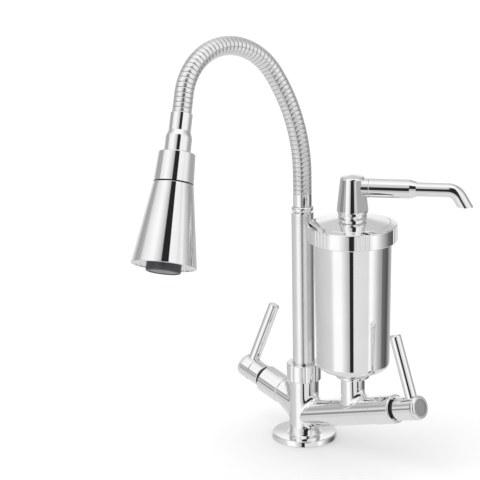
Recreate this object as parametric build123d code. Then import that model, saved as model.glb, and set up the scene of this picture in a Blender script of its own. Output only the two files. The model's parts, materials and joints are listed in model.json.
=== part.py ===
from build123d import *
import math
import os

os.makedirs("parts", exist_ok=True)

# A deck kitchen tap with a flexible gooseneck for plain water and a filter canister with its own spout.
# Millimetres. The origin is the centre of the flange's underside on the worktop, +Z is up,
# +X is the side of the filter canister and -Y is the front.

# Fits
FIT = 0.05
PLAY = 0.1
SEAM = 0.9
SEAL_GAP = 0.03
TURN = 360

# Base flange and its seal
FLANGE_R = 28.1
FLANGE_RIM = 5.0
FLANGE_EDGE = 1.0
FLANGE_DISH = 1.6
FLANGE_TOP = 7.3
FLANGE_COLLAR_WALL = 1.25
FLANGE_SWEEP = 2.0
BASE_SEAL_R = 21.0
BASE_SEAL_WIDTH = 4.0
BASE_SEAL_HEIGHT = 1.6

# Body casting
TAIL_R = 12.0
TAIL_RECESS = 0.5
NECK_R = 12.8
BOSS_R = 13.0
BOSS_TOP = 52.7
INLET_R = 9.3
INLET_DEPTH = 14.0
INLET_CHAMBER_R = 6.0
INLET_CHAMBER = 11.5
CAST_GAP = 0.3
PORT_R = 3.5
PORT_OFFSET = 4.5
RISER_CHAMBER_R = 5.0
RISER_CHAMBER = 7.0

# Arms that carry the two valves
ARM_STEP = 1.2
ARM_RISE = 16.5
RIGHT_ARM_Z = 20.1
RIGHT_ARM_LENGTH = 87.0
LEFT_ARM_Z = 29.3
LEFT_ARM_LENGTH = 25.0
LEFT_ROOT_Z = 21.0
LEFT_ROOT_INSET = 5.0
LEFT_ROOT_STEP = 0.3
ARM_THREAD_R = 10.3
ARM_THREAD_LENGTH = 9.0

# Valve cartridges
CARTRIDGE_R = 8.1
CARTRIDGE_DEPTH = 6.0
CARTRIDGE_REACH = 11.0
CARTRIDGE_FLANGE_GAP = 0.4
CARTRIDGE_FLANGE = 1.5
CARTRIDGE_WALL = 1.6
SEAT_SEAL = 2.0
SEAT_PORT_R = 2.6
DISC_PORT_R = 1.9
DISC_PORT_OFFSET = 3.6
FIXED_DISC = 3.0
MOVING_DISC = 3.5
DISC_POCKET_LENGTH = 11.0
DISC_POCKET_WIDTH = 4.2
DISC_POCKET_DEPTH = 1.4
TONGUE_WIDTH = 2.0
TONGUE_LENGTH = 10.0
TONGUE_DEPTH = 1.0
SPINDLE_HEAD = 3.5
SPINDLE_R = 3.5
SPINDLE_FLAT = 2.6
SPINDLE_RING_AT = 9.0
SPINDLE_RING_WIRE = 0.45

# Valve sleeves and lever hubs
SLEEVE_R = 12.3
SLEEVE_LENGTH = 22.5
SLEEVE_MOUTH_WALL = 1.5
SLEEVE_MOUTH_DEPTH = 4.5
SLEEVE_MOUTH_ROUND = 1.3
SLEEVE_EDGE = 0.7
HUB_GAP = 3.1
HUB_R = 10.0
HUB_LENGTH = 23.8
HUB_NECK = 11.2
HUB_COLLAR_R = 10.3
HUB_GROOVE_DEPTH = 0.2
HUB_GROOVE_WIDTH = 0.4
HUB_BEAD = 3.0
HUB_BEAD_STEP = 0.15
HUB_BEAD_DEPTH = 0.7
HUB_BEAD_ROUND = 0.5
HUB_END_ROUND = 2.0
BADGE_RIM = 3.0
BADGE_THICK = 1.0
BADGE_INSET = 0.8
SCREW_R = 2.0
SCREW_LENGTH = 10.0
SCREW_HEAD_R = 3.8
SCREW_HEAD = 3.4
SCREW_HEX = 2.4
SCREW_HEX_DEPTH = 2.0
SCREW_SEAT = 4.0
SCREW_ROOM = 0.8
SCREW_END_ROOM = 1.0

# Lever rods
ROD_BASE_R = 5.0
ROD_TIP_R = 4.9
ROD_TIP_ROUND = 1.6
ROD_REACH = 63.5
ROD_ALONG_HUB = 16.4
ROD_TENON_R = 3.4
ROD_TENON_FOOT = 6.4
RIGHT_ROLL = 3.3
LEFT_ROLL = 12.0

# Swivelling riser
RISER_R = 9.5
RISER_WALL = 1.0
RISER_LENGTH = 152.0
SOCKET_DEPTH = 12.7
SOCKET_WALL = 1.95
SOCKET_RISE = 9.3
BUSH_BORE_R = 6.8
BUSH_COLLAR = 9.9
BUSH_SPIGOT = 8.0
BUSH_RING_WIRE = 0.72
BUSH_RING_LOW = 3.0
BUSH_RING_STEP = 3.8
SLIP_WASHER = 1.0
STOP_RING_GAP = 0.3
STOP_RING = 1.9
NUT_WALL = 3.45
NUT_GAP = 0.5
NUT_HEIGHT = 15.1
NUT_EDGE = 0.9
NUT_LOBES = 8
NUT_SCALLOP_R = 3.6
NUT_SCALLOP_DEPTH = 0.9
NUT_LIP_GAP = 0.3

# Fitting and lower ferrule between the riser and the gooseneck
FITTING_SPIGOT = 12.0
FITTING_FLANGE = 1.6
FITTING_GROOVE_DEPTH = 2.0
FITTING_GROOVE = 0.9
FITTING_BEAD_STEP = 1.85
FITTING_BEAD = 4.5
FITTING_BEAD_ROUND = 1.6
FITTING_BORE_R = 2.8
LOW_FERRULE_R = 8.0
LOW_FERRULE = 11.4
FERRULE_EDGE = 0.5
NIPPLE_LENGTH = 9.0

# Gooseneck: a straight, two tangent arcs in their own planes and a straight
HOSE_R = 8.0
HOSE_VALLEY_R = 7.35
HOSE_BORE_R = 6.2
HOSE_RIBS = 61
HOSE_STRAIGHT = 16.0
HOSE_END_X = -25.2
HOSE_END_Y = -112.6
HOSE_END_RISE = 100.6
HOSE_END_TILT = 26.13
HOSE_END_BEARING = -62.41
HOSE_FIRST_TANGENT = 47.1
WATER_TUBE_R = 5.4
WATER_TUBE_BORE_R = 4.0

# Spray head along its own axis
TOP_FERRULE_R = 9.07
TOP_FERRULE = 14.8
TUBE_GRIP = 10.0
GRIP_SPIGOT_R = 7.0
CONNECTOR_R = 10.8
CONNECTOR = 17.8
CONNECTOR_STEP = 0.2
CONNECTOR_SLOPE = 4.5
CONNECTOR_ROUND = 8.0
CONNECTOR_SPIGOT_R = 9.0
CONNECTOR_SPIGOT = 12.0
COLLAR_TOP_R = 15.0
COLLAR_R = 16.3
COLLAR = 24.7
COLLAR_ROUND = 1.0
COLLAR_BORE_R = 6.0
PIVOT_R = 12.0
PIVOT_LENGTH = 12.0
PIVOT_RING_AT = 4.2
PIVOT_RING_WIRE = 0.7
PIVOT_CLIP_AT = 8.4
PIVOT_CLIP = 1.2
PIVOT_CLIP_BITE = 0.9
CONE = 68.0
CONE_R = 26.6
CONE_EDGE = 0.6
CONE_TOP_ROUND = 0.5
CONE_CAVITY_TOP_R = 13.8
CONE_LIP = 2.6
PLATE_LEDGE = 0.7
PLATE_RECESS = 0.5
PLATE_THICK = 3.0
PLATE_HOLE_R = 12.4
NOZZLES = 20
NOZZLE_R = 0.6
NOZZLE_CIRCLE_R = 19.0
AERATOR_R = 14.2
AERATOR_DROP = 4.7
AERATOR_EDGE = 1.0
AERATOR_NECK = 8.0
AERATOR_BORE_R = 11.5
AERATOR_FACE = 4.0
AERATOR_INSET = 0.6
AERATOR_INLET_R = 9.5
AERATOR_HOLE_R = 0.9
AERATOR_PITCH = 3.0

# Filter canister
CANISTER_FOOT_R = 30.85
CANISTER_FOOT_ROUND = 6.5
CANISTER_BODY = 113.0
CANISTER_WALL = 2.5
CANISTER_FLOOR = 4.0
CANISTER_RIM_R = 33.6
CANISTER_RIM_STEP = 1.4
CANISTER_RIM_LEDGE = 1.0
CANISTER_RIM = 8.4
STUB_R = 10.2
STUB_SETBACK = 28.1
STUB_TOP = 68.4
STUB_BORE_R = 4.5
STUB_BORE_FLOOR = 1.7
TAILPIECE_R = 7.0
TAILPIECE_RISE = 17.6
SEAT_RING_R = 14.3
SEAT_RING = 2.8
SEAT_RING_ROUND = 0.9
SEAT_NECK_R = 11.5
SEAT_NECK = 4.4
FOOT_GASKET = 1.0
NUT_WASHER = 1.0
NUT_WASHER_R = 12.5
CLAMP_NUT_FLATS = 20.0

# Filter block inside the canister
BLOCK_R = 24.0
BLOCK_BORE_R = 8.0
BLOCK_HEIGHT = 88.0
BLOCK_CAP_R = 25.0
BLOCK_CAP = 4.0
BLOCK_SLOT = 4.0
BLOCK_SLOT_DEPTH = 2.0
OUTLET_NIPPLE_R = 7.0
OUTLET_NIPPLE_BORE_R = 4.0
OUTLET_NIPPLE_GAP = 1.0
NIPPLE_RING_WIRE = 0.7
NIPPLE_RING_AT = 4.0

# Canister lid, its screw ring and retaining ring
LID_GASKET = 1.2
LID_GASKET_INSET = 1.2
LID_GASKET_WIDTH = 2.7
LID_FLANGE = 3.0
LID_LEDGE = 1.7
LID_EDGE = 2.6
LID_EDGE_ROUND = 0.8
LID_CROWN_R = 12.8
LID_CROWN = 3.9
LID_BOSS_R = 10.5
LID_BOSS_DROP = 11.7
LID_SOCKET_DEPTH = 8.5
RING_WALL = 3.85
RING_LIP = 2.3
RING_SLOPE = 1.4
RING_TOP_ROUND = 1.2
RING_FOOT_ROUND = 0.8
RING_EYE_GAP = 0.2
FLUTE_GROUPS = 6
FLUTES = 4
FLUTE_STEP = 5.6
FLUTE_PHASE = 24.2
FLUTE_R = 1.5
FLUTE_DEPTH = 0.9
SNAP_RING = 0.9
SNAP_RING_BITE = 0.6
SNAP_RING_REACH = 1.0

# Turret and filter spout
POST_R = 8.0
POST_BORE_R = 4.5
POST_PORT_R = 3.0
POST_CAP = 3.6
NECK_RING_R = 12.1
NECK_RING = 4.1
NECK_RING_ROUND = 0.8
TURRET_FOOT_R = 12.4
TURRET_WIDE_R = 13.3
TURRET_WIDE = 1.8
TURRET_TOP_R = 10.0
TURRET_SHOULDER = 31.2
TURRET_DOME = 1.2
TURRET_ROOF = 2.7
TURRET_FOOT_ROUND = 3.0
TURRET_TOP_ROUND = 2.2
TURRET_CHAMBER_R = 9.2
TURRET_CHAMBER_HALF = 3.8
TURRET_CLIP = 1.2
TURRET_CLIP_AT = 4.6
TURRET_CLIP_BITE = 0.8
POST_RING_WIRE = 0.7
POST_RING_LOW = 8.1
POST_RING_HIGH = 5.6
SPOUT_RISE = 21.7
SPOUT_BEARING = 33.8
SPOUT_R = 8.0
SPOUT_ROOT = 13.7
SPOUT_SLEEVE = 34.0
SPOUT_CONE = 5.3
SPOUT_CONE_LIP = 0.55
SPOUT_BORE_R = 4.0
SPOUT_SPIGOT_R = 5.5
SPOUT_SPIGOT = 3.3
SPOUT_TUBE_R = 5.9
SPOUT_TUBE_WALL = 1.0
SPOUT_TUBE_GRIP = 23.0
SPOUT_STRAIGHT = 79.0
SPOUT_BEND_R = 11.0
SPOUT_BEND = 60.0
SPOUT_DROP = 13.6

nodes = {}


def turned(*corners):
    """Solid of revolution about Z through (radius, height) corners in order; a third number rounds that corner."""
    points = [(corner[0], corner[1]) for corner in corners]
    rounding = [corner[2] if len(corner) > 2 else 0 for corner in corners]
    outline = FilletPolyline(*points, radius=rounding, close=True)
    return Rot(X=90) * revolve(make_face(outline), Axis.Y)


def bar(radius, start, end, x=0, y=0):
    """Round bar along Z from start to end, off the axis by x and y."""
    return Pos(x, y, (start + end) / 2) * Cylinder(radius, end - start)


def pipe(radius, bore, start, end):
    """Round tube along Z from start to end."""
    return turned((bore, start), (radius, start), (radius, end), (bore, end))


def o_ring(outer, wire, height):
    """Sealing ring of round wire that reaches out to the given radius."""
    return Pos(Z=height) * Torus(outer - wire, wire)


def o_ring_groove(outer, wire, height):
    """Square groove that holds such a ring, cut from a round bar of about that radius."""
    half = wire + SEAL_GAP
    floor = outer - 2 * wire - SEAL_GAP
    return pipe(outer + wire, floor, height - half, height + half)


# Body casting: a boss, two rising arms, the left one with a lower root, and the canister stub, rounded together
rise = math.radians(ARM_RISE)
right_dir = Vector(math.cos(rise), 0, math.sin(rise))
right_up = Vector(-math.sin(rise), 0, math.cos(rise))
left_dir = Vector(-math.cos(rise), 0, math.sin(rise))
left_up = Vector(math.sin(rise), 0, math.cos(rise))
right_seam = Vector(0, 0, RIGHT_ARM_Z) + right_dir * RIGHT_ARM_LENGTH
left_seam = Vector(0, 0, LEFT_ARM_Z) + left_dir * LEFT_ARM_LENGTH
right_fixed = Plane(right_seam, x_dir=right_up, z_dir=right_dir).location
left_fixed = Plane(left_seam, x_dir=left_up, z_dir=left_dir).location
canister_x = (RIGHT_ARM_LENGTH - STUB_SETBACK) * math.cos(rise)
canister_axis = Pos(X=canister_x)
stub_foot = RIGHT_ARM_Z + canister_x * math.tan(rise)
socket_floor = BOSS_TOP - SOCKET_DEPTH
socket_thread_r = RISER_R + FIT + SOCKET_WALL
inlet_top = TAIL_RECESS + INLET_DEPTH

body = turned(
    (0, TAIL_RECESS),
    (TAIL_R, TAIL_RECESS),
    (TAIL_R, FLANGE_TOP),
    (NECK_R, FLANGE_TOP),
    (BOSS_R, BOSS_TOP),
    (0, BOSS_TOP),
)
arm_r = BOSS_R - ARM_STEP
body += right_fixed * bar(arm_r, -RIGHT_ARM_LENGTH, 0)
body += left_fixed * bar(arm_r, -LEFT_ARM_LENGTH, 0)
root_from = left_seam - left_dir * LEFT_ROOT_INSET
root_to = Vector(0, 0, LEFT_ROOT_Z)
root = Plane(root_from, z_dir=root_to - root_from).location
body += root * bar(arm_r - LEFT_ROOT_STEP, 0, (root_to - root_from).length)
body += canister_axis * bar(STUB_R, stub_foot, STUB_TOP)
junctions = [e for e in body.edges() if e.geom_type not in (GeomType.LINE, GeomType.CIRCLE)]
arm_start = (BOSS_R + arm_r * math.sin(rise)) / math.cos(rise)
cast_round = (LEFT_ARM_LENGTH - arm_start - CAST_GAP) * math.tan(math.pi / 4 - rise / 2)
body = fillet(junctions, cast_round)

# Threads that carry the riser nut, the sleeves and the canister
socket_top = BOSS_TOP + SOCKET_RISE
tailpiece_top = STUB_TOP + TAILPIECE_RISE
seal_floor = -CARTRIDGE_DEPTH - SEAT_SEAL
body += bar(socket_thread_r, BOSS_TOP, socket_top)
body += canister_axis * bar(TAILPIECE_R, STUB_TOP, tailpiece_top)
for seat, length in ((right_fixed, RIGHT_ARM_LENGTH), (left_fixed, LEFT_ARM_LENGTH)):
    body += seat * bar(ARM_THREAD_R, 0, ARM_THREAD_LENGTH)
    body -= seat * bar(CARTRIDGE_R + FIT, seal_floor, ARM_THREAD_LENGTH)
    body -= seat * bar(PORT_R, -length, seal_floor, x=-PORT_OFFSET)

# Water ways: the inlet feeds both lower ports, the left valve feeds the riser, the right one the canister
right_return_start = PORT_OFFSET * math.tan(rise) - STUB_SETBACK
body -= bar(INLET_R, TAIL_RECESS, inlet_top)
body -= bar(INLET_CHAMBER_R, inlet_top, inlet_top + INLET_CHAMBER)
body -= left_fixed * bar(PORT_R, -LEFT_ARM_LENGTH, seal_floor, x=PORT_OFFSET)
body -= right_fixed * bar(PORT_R, right_return_start, seal_floor, x=PORT_OFFSET)
body -= canister_axis * bar(STUB_BORE_R, stub_foot + STUB_BORE_FLOOR, tailpiece_top)
body -= bar(RISER_CHAMBER_R, socket_floor - RISER_CHAMBER, socket_floor)
body -= bar(RISER_R + FIT, socket_floor, socket_top)
nodes["tap_body"] = body

# Base flange with its seal let into the underside
seal_inner = BASE_SEAL_R - BASE_SEAL_WIDTH
collar_r = TAIL_R + FIT + FLANGE_COLLAR_WALL
flange = turned(
    (TAIL_R + FIT, 0),
    (FLANGE_R, 0),
    (FLANGE_R, FLANGE_RIM, FLANGE_EDGE),
    (collar_r, FLANGE_RIM - FLANGE_DISH, FLANGE_SWEEP),
    (collar_r, FLANGE_TOP),
    (TAIL_R + FIT, FLANGE_TOP),
)
flange -= pipe(BASE_SEAL_R + FIT, seal_inner - FIT, 0, BASE_SEAL_HEIGHT)
nodes["base_flange"] = flange
nodes["base_seal"] = pipe(BASE_SEAL_R, seal_inner, 0, BASE_SEAL_HEIGHT)


# Valve stations: the same quarter-turn valve on each arm, with its own lever
pairs = {"valve_cartridges": [], "seat_seals": [], "fixed_discs": []}


def valve(side, fixed, seam, along, up, roll):
    """Pieces of one valve, placed on the arm end at seam; the lever is rolled from upright about the arm."""
    turning = Plane(seam, x_dir=up.rotate(Axis((0, 0, 0), along), roll), z_dir=along).location
    disc_floor = -CARTRIDGE_DEPTH
    moving_floor = disc_floor + FIXED_DISC
    head_floor = moving_floor + MOVING_DISC
    shaft_floor = head_floor + SPINDLE_HEAD
    flange_top = ARM_THREAD_LENGTH + CARTRIDGE_FLANGE
    cartridge_top = flange_top + CARTRIDGE_REACH
    cavity_r = CARTRIDGE_R - CARTRIDGE_WALL
    disc_r = cavity_r - FIT
    hub_foot = SLEEVE_LENGTH + HUB_GAP
    hub_end = hub_foot + HUB_LENGTH
    badge_floor = hub_end - BADGE_INSET - BADGE_THICK
    screw_head_foot = badge_floor - SCREW_ROOM - SCREW_HEAD
    socket_end = screw_head_foot - SCREW_SEAT
    socket_depth = socket_end - hub_foot
    rod_at = hub_foot + ROD_ALONG_HUB

    cartridge_flange_r = ARM_THREAD_R - CARTRIDGE_FLANGE_GAP
    cartridge = turned(
        (SPINDLE_R + FIT, shaft_floor + PLAY),
        (cavity_r, shaft_floor + PLAY),
        (cavity_r, disc_floor),
        (CARTRIDGE_R, disc_floor),
        (CARTRIDGE_R, ARM_THREAD_LENGTH),
        (cartridge_flange_r, ARM_THREAD_LENGTH),
        (cartridge_flange_r, flange_top),
        (CARTRIDGE_R, flange_top),
        (CARTRIDGE_R, cartridge_top),
        (SPINDLE_R + FIT, cartridge_top),
    )
    pairs["valve_cartridges"].append(fixed * cartridge)

    seal = bar(CARTRIDGE_R, seal_floor, disc_floor)
    fixed_disc = bar(disc_r, disc_floor, moving_floor)
    for offset in (PORT_OFFSET, -PORT_OFFSET):
        seal -= bar(SEAT_PORT_R, seal_floor, disc_floor, x=offset)
    for offset in (DISC_PORT_OFFSET, -DISC_PORT_OFFSET):
        fixed_disc -= bar(DISC_PORT_R, disc_floor, moving_floor, x=offset)
    pairs["seat_seals"].append(fixed * seal)
    pairs["fixed_discs"].append(fixed * fixed_disc)

    moving_disc = bar(disc_r, moving_floor, head_floor)
    pocket = Box(DISC_POCKET_WIDTH, DISC_POCKET_LENGTH, DISC_POCKET_DEPTH)
    slot = Box(TONGUE_LENGTH + 2 * FIT, TONGUE_WIDTH + 2 * FIT, TONGUE_DEPTH + FIT)
    moving_disc -= Pos(Z=moving_floor + DISC_POCKET_DEPTH / 2) * pocket
    moving_disc -= Pos(Z=head_floor - (TONGUE_DEPTH + FIT) / 2) * slot
    nodes[side + "_moving_disc"] = turning * moving_disc

    spindle = bar(disc_r, head_floor, shaft_floor) + bar(SPINDLE_R, shaft_floor, socket_end)
    tongue = Box(TONGUE_LENGTH, TONGUE_WIDTH, TONGUE_DEPTH)
    spindle += Pos(Z=head_floor - TONGUE_DEPTH / 2) * tongue
    flat = Box(SPINDLE_R, 2 * SPINDLE_R, socket_depth)
    spindle -= Pos(SPINDLE_FLAT + SPINDLE_R / 2, 0, hub_foot + socket_depth / 2) * flat
    ring_at = shaft_floor + SPINDLE_RING_AT
    spindle -= o_ring_groove(SPINDLE_R, SPINDLE_RING_WIRE, ring_at)
    screw_end = screw_head_foot - SCREW_LENGTH
    spindle -= bar(SCREW_R + FIT, screw_end - SCREW_END_ROOM, socket_end)
    nodes[side + "_spindle"] = turning * spindle
    nodes[side + "_spindle_o_ring"] = turning * o_ring(SPINDLE_R, SPINDLE_RING_WIRE, ring_at)

    mouth_r = SLEEVE_R - SLEEVE_MOUTH_WALL
    mouth_floor = SLEEVE_LENGTH - SLEEVE_MOUTH_DEPTH
    sleeve = turned(
        (ARM_THREAD_R + FIT, 0),
        (SLEEVE_R, 0, SLEEVE_EDGE),
        (SLEEVE_R, SLEEVE_LENGTH, SLEEVE_MOUTH_ROUND),
        (mouth_r, SLEEVE_LENGTH),
        (mouth_r, mouth_floor),
        (CARTRIDGE_R + FIT, mouth_floor),
        (CARTRIDGE_R + FIT, flange_top),
        (ARM_THREAD_R + FIT, flange_top),
    )
    nodes[side + "_sleeve"] = fixed * sleeve

    neck_end = hub_foot + HUB_NECK
    groove_r = HUB_R - HUB_GROOVE_DEPTH
    badge_r = HUB_COLLAR_R - BADGE_RIM
    bead_r = HUB_COLLAR_R - HUB_BEAD_STEP
    bead_foot = hub_end - HUB_BEAD
    bead_groove_r = HUB_COLLAR_R - HUB_BEAD_DEPTH
    hub = turned(
        (0, hub_foot),
        (HUB_R, hub_foot, SLEEVE_EDGE),
        (HUB_R, neck_end),
        (groove_r, neck_end),
        (groove_r, neck_end + HUB_GROOVE_WIDTH),
        (HUB_COLLAR_R, neck_end + HUB_GROOVE_WIDTH),
        (HUB_COLLAR_R, bead_foot - HUB_GROOVE_WIDTH),
        (bead_groove_r, bead_foot - HUB_GROOVE_WIDTH),
        (bead_groove_r, bead_foot),
        (bead_r, bead_foot, HUB_BEAD_ROUND),
        (bead_r, hub_end, HUB_END_ROUND),
        (0, hub_end),
    )
    socket = bar(SPINDLE_R + FIT, hub_foot, socket_end)
    key = Box(SPINDLE_R, 2 * SPINDLE_R, socket_depth)
    socket -= Pos(SPINDLE_FLAT + FIT + SPINDLE_R / 2, 0, hub_foot + socket_depth / 2) * key
    hub -= socket
    hub -= bar(SCREW_R + FIT, socket_end, screw_head_foot)
    hub -= bar(SCREW_HEAD_R + FIT, screw_head_foot, badge_floor)
    hub -= bar(badge_r + FIT, badge_floor, hub_end)
    mortise = Pos(0, 0, rod_at) * Rot(Y=90) * bar(ROD_TENON_R + FIT, ROD_TENON_FOOT - FIT, HUB_COLLAR_R)
    hub -= mortise
    nodes[side + "_hub"] = turning * hub
    nodes[side + "_hub_badge"] = turning * bar(badge_r, badge_floor, badge_floor + BADGE_THICK)

    screw = bar(SCREW_R, screw_end, screw_head_foot)
    screw += bar(SCREW_HEAD_R, screw_head_foot, screw_head_foot + SCREW_HEAD)
    hexagon = extrude(RegularPolygon(SCREW_HEX, 6), SCREW_HEX_DEPTH)
    screw -= Pos(Z=screw_head_foot + SCREW_HEAD - SCREW_HEX_DEPTH) * hexagon
    nodes[side + "_hub_screw"] = turning * screw

    rod = turned(
        (0, 0),
        (ROD_BASE_R, 0),
        (ROD_TIP_R, ROD_REACH, ROD_TIP_ROUND),
        (0, ROD_REACH),
    )
    rod = Pos(Z=rod_at) * Rot(Y=90) * rod
    rod -= bar(HUB_COLLAR_R + FIT, rod_at - 2 * ROD_BASE_R, rod_at + 2 * ROD_BASE_R)
    rod += Pos(Z=rod_at) * Rot(Y=90) * bar(ROD_TENON_R, ROD_TENON_FOOT, HUB_COLLAR_R + ROD_BASE_R)
    nodes[side + "_lever_rod"] = turning * rod


valve("left", left_fixed, left_seam, left_dir, left_up, LEFT_ROLL)
valve("right", right_fixed, right_seam, right_dir, right_up, RIGHT_ROLL)
for name, solids in pairs.items():
    nodes[name] = Compound(solids)

# Riser: a bush with two sealing rings turns in the socket, a stop ring under the nut keeps it down
bush_foot = socket_floor + PLAY
riser_foot = bush_foot + BUSH_COLLAR
riser_top = riser_foot + RISER_LENGTH
tube_bore = RISER_R - RISER_WALL
ring_low = bush_foot + BUSH_RING_LOW
ring_high = ring_low + BUSH_RING_STEP
bush = turned(
    (BUSH_BORE_R, bush_foot),
    (RISER_R, bush_foot),
    (RISER_R, riser_foot),
    (tube_bore - FIT, riser_foot),
    (tube_bore - FIT, riser_foot + BUSH_SPIGOT),
    (BUSH_BORE_R, riser_foot + BUSH_SPIGOT),
)
for height in (ring_low, ring_high):
    bush -= o_ring_groove(RISER_R, BUSH_RING_WIRE, height)
nodes["riser_bush"] = bush
lower_ring = o_ring(RISER_R, BUSH_RING_WIRE, ring_low)
nodes["riser_o_rings"] = lower_ring + o_ring(RISER_R, BUSH_RING_WIRE, ring_high)
nodes["riser_tube"] = pipe(RISER_R, tube_bore, riser_foot, riser_top)

washer_top = socket_top + SLIP_WASHER
stop_foot = washer_top + PLAY
stop_top = stop_foot + STOP_RING
nut_foot = BOSS_TOP + NUT_GAP
nut_top = nut_foot + NUT_HEIGHT
nodes["slip_washer"] = pipe(socket_thread_r, RISER_R + NUT_LIP_GAP, socket_top, washer_top)
nodes["stop_ring"] = pipe(socket_thread_r - STOP_RING_GAP, RISER_R + FIT, stop_foot, stop_top)
nut_r = socket_thread_r + FIT + NUT_WALL
nut = turned(
    (socket_thread_r + FIT, nut_foot),
    (nut_r, nut_foot, NUT_EDGE),
    (nut_r, nut_top, NUT_EDGE),
    (RISER_R + NUT_LIP_GAP, nut_top),
    (RISER_R + NUT_LIP_GAP, stop_top + PLAY),
    (socket_thread_r + FIT, stop_top + PLAY),
)
scallop = bar(NUT_SCALLOP_R, nut_foot, nut_top, x=nut_r - NUT_SCALLOP_DEPTH + NUT_SCALLOP_R)
nut -= [Rot(Z=TURN * i / NUT_LOBES) * scallop for i in range(NUT_LOBES)]
nodes["riser_nut"] = nut

# Fitting on top of the riser and the ferrule that grips the gooseneck
groove_foot = riser_top + FITTING_FLANGE
bead_foot = groove_foot + FITTING_GROOVE
bead_top = bead_foot + FITTING_BEAD
ferrule_top = bead_top + LOW_FERRULE
nipple_r = WATER_TUBE_BORE_R - FIT
groove_r = RISER_R - FITTING_GROOVE_DEPTH
bead_r = groove_r + FITTING_BEAD_STEP
fitting = turned(
    (FITTING_BORE_R, riser_top - FITTING_SPIGOT),
    (tube_bore - FIT, riser_top - FITTING_SPIGOT),
    (tube_bore - FIT, riser_top),
    (RISER_R, riser_top),
    (RISER_R, groove_foot),
    (groove_r, groove_foot),
    (groove_r, bead_foot),
    (bead_r, bead_foot, FITTING_BEAD_ROUND),
    (bead_r, bead_top, FITTING_BEAD_ROUND),
    (nipple_r, bead_top),
    (nipple_r, bead_top + NIPPLE_LENGTH),
    (FITTING_BORE_R, bead_top + NIPPLE_LENGTH),
)
nodes["riser_fitting"] = fitting
nodes["hose_ferrule"] = turned(
    (WATER_TUBE_R + FIT, bead_top),
    (LOW_FERRULE_R, bead_top, FERRULE_EDGE),
    (LOW_FERRULE_R, ferrule_top, FERRULE_EDGE),
    (WATER_TUBE_R + FIT, ferrule_top),
)


# Gooseneck centre line
def arc_from(start, heading, end):
    """Centre, turning axis and angle in degrees of the arc that leaves start along heading and reaches end."""
    chord = end - start
    along = chord.dot(heading)
    across = chord - heading * along
    radius = chord.dot(chord) / (2 * across.length)
    side = across.normalized()
    angle = math.degrees(2 * math.atan2(across.length, along))
    return start + side * radius, heading.cross(side), angle


def turn(vector, axis, angle):
    """Vector turned about an axis through the origin."""
    return vector.rotate(Axis((0, 0, 0), axis), angle)


up = Vector(0, 0, 1)
tilt = math.radians(HOSE_END_TILT)
bearing = math.radians(HOSE_END_BEARING)
head_dir = Vector(math.sin(tilt) * math.cos(bearing), math.sin(tilt) * math.sin(bearing), -math.cos(tilt))
hose_foot = Vector(0, 0, ferrule_top)
bend_start = hose_foot + up * HOSE_STRAIGHT
bend_end = hose_foot + Vector(HOSE_END_X, HOSE_END_Y, HOSE_END_RISE)
hose_end = bend_end + head_dir * HOSE_STRAIGHT
span = bend_end - bend_start
first = HOSE_FIRST_TANGENT
second = (0.5 * span.dot(span) - first * span.dot(up)) / (span.dot(head_dir) - first * (up.dot(head_dir) - 1))
corner_a = bend_start + up * first
corner_b = bend_end - head_dir * second
bend_joint = corner_a + (corner_b - corner_a) * (first / (first + second))
centre_a, axis_a, angle_a = arc_from(bend_start, up, bend_joint)
joint_dir = turn(up, axis_a, angle_a)
centre_b, axis_b, angle_b = arc_from(bend_joint, joint_dir, bend_end)
radius_a = (bend_start - centre_a).length
radius_b = (bend_joint - centre_b).length
length_a = radius_a * math.radians(angle_a)
length_b = radius_b * math.radians(angle_b)
hose_length = length_a + length_b + 2 * HOSE_STRAIGHT
mid_a = centre_a + turn(bend_start - centre_a, axis_a, angle_a / 2)
mid_b = centre_b + turn(bend_joint - centre_b, axis_b, angle_b / 2)


def hose_plane(distance):
    """Cross-section plane at a distance along the hose, carried along without twist."""
    steady_b = axis_b
    steady_a = turn(axis_b, axis_a, -angle_a)
    if distance <= HOSE_STRAIGHT:
        return Plane(hose_foot + up * distance, x_dir=steady_a, z_dir=up)
    distance -= HOSE_STRAIGHT
    if distance <= length_a:
        swing = angle_a * distance / length_a
        point = centre_a + turn(bend_start - centre_a, axis_a, swing)
        return Plane(point, x_dir=turn(steady_a, axis_a, swing), z_dir=turn(up, axis_a, swing))
    distance -= length_a
    if distance <= length_b:
        swing = angle_b * distance / length_b
        point = centre_b + turn(bend_joint - centre_b, axis_b, swing)
        return Plane(point, x_dir=steady_b, z_dir=turn(joint_dir, axis_b, swing))
    return Plane(bend_end + head_dir * (distance - length_b), x_dir=steady_b, z_dir=head_dir)


def along_hose(radius, below, beyond):
    """Round rod swept along the hose, longer than it by the given lengths at its two ends."""
    low = hose_foot - up * below
    high = hose_end + head_dir * beyond
    path = Wire(
        [
            Edge.make_line(low, bend_start),
            Edge.make_three_point_arc(bend_start, mid_a, bend_joint),
            Edge.make_three_point_arc(bend_joint, mid_b, bend_end),
            Edge.make_line(bend_end, high),
        ]
    )
    return sweep(Plane(low, z_dir=up) * Circle(radius), path=path)


# Ribs: each one climbs from a valley to its crest and back, four circles to a rib
rib = hose_length / HOSE_RIBS
rib_shape = ((0.0, HOSE_VALLEY_R), (0.2, HOSE_R), (0.7, HOSE_R), (0.9, HOSE_VALLEY_R))
rings = [(rib * (i + share), radius) for i in range(HOSE_RIBS) for share, radius in rib_shape]
rings.append((hose_length, HOSE_VALLEY_R))
hose = loft([hose_plane(distance) * Circle(radius) for distance, radius in rings], ruled=True)
hose -= along_hose(HOSE_BORE_R, 0, 0)
nodes["gooseneck_hose"] = hose
print("hose radii", round(radius_a, 1), round(radius_b, 1), "length", round(hose_length, 1), "pitch", round(rib, 2))

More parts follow.
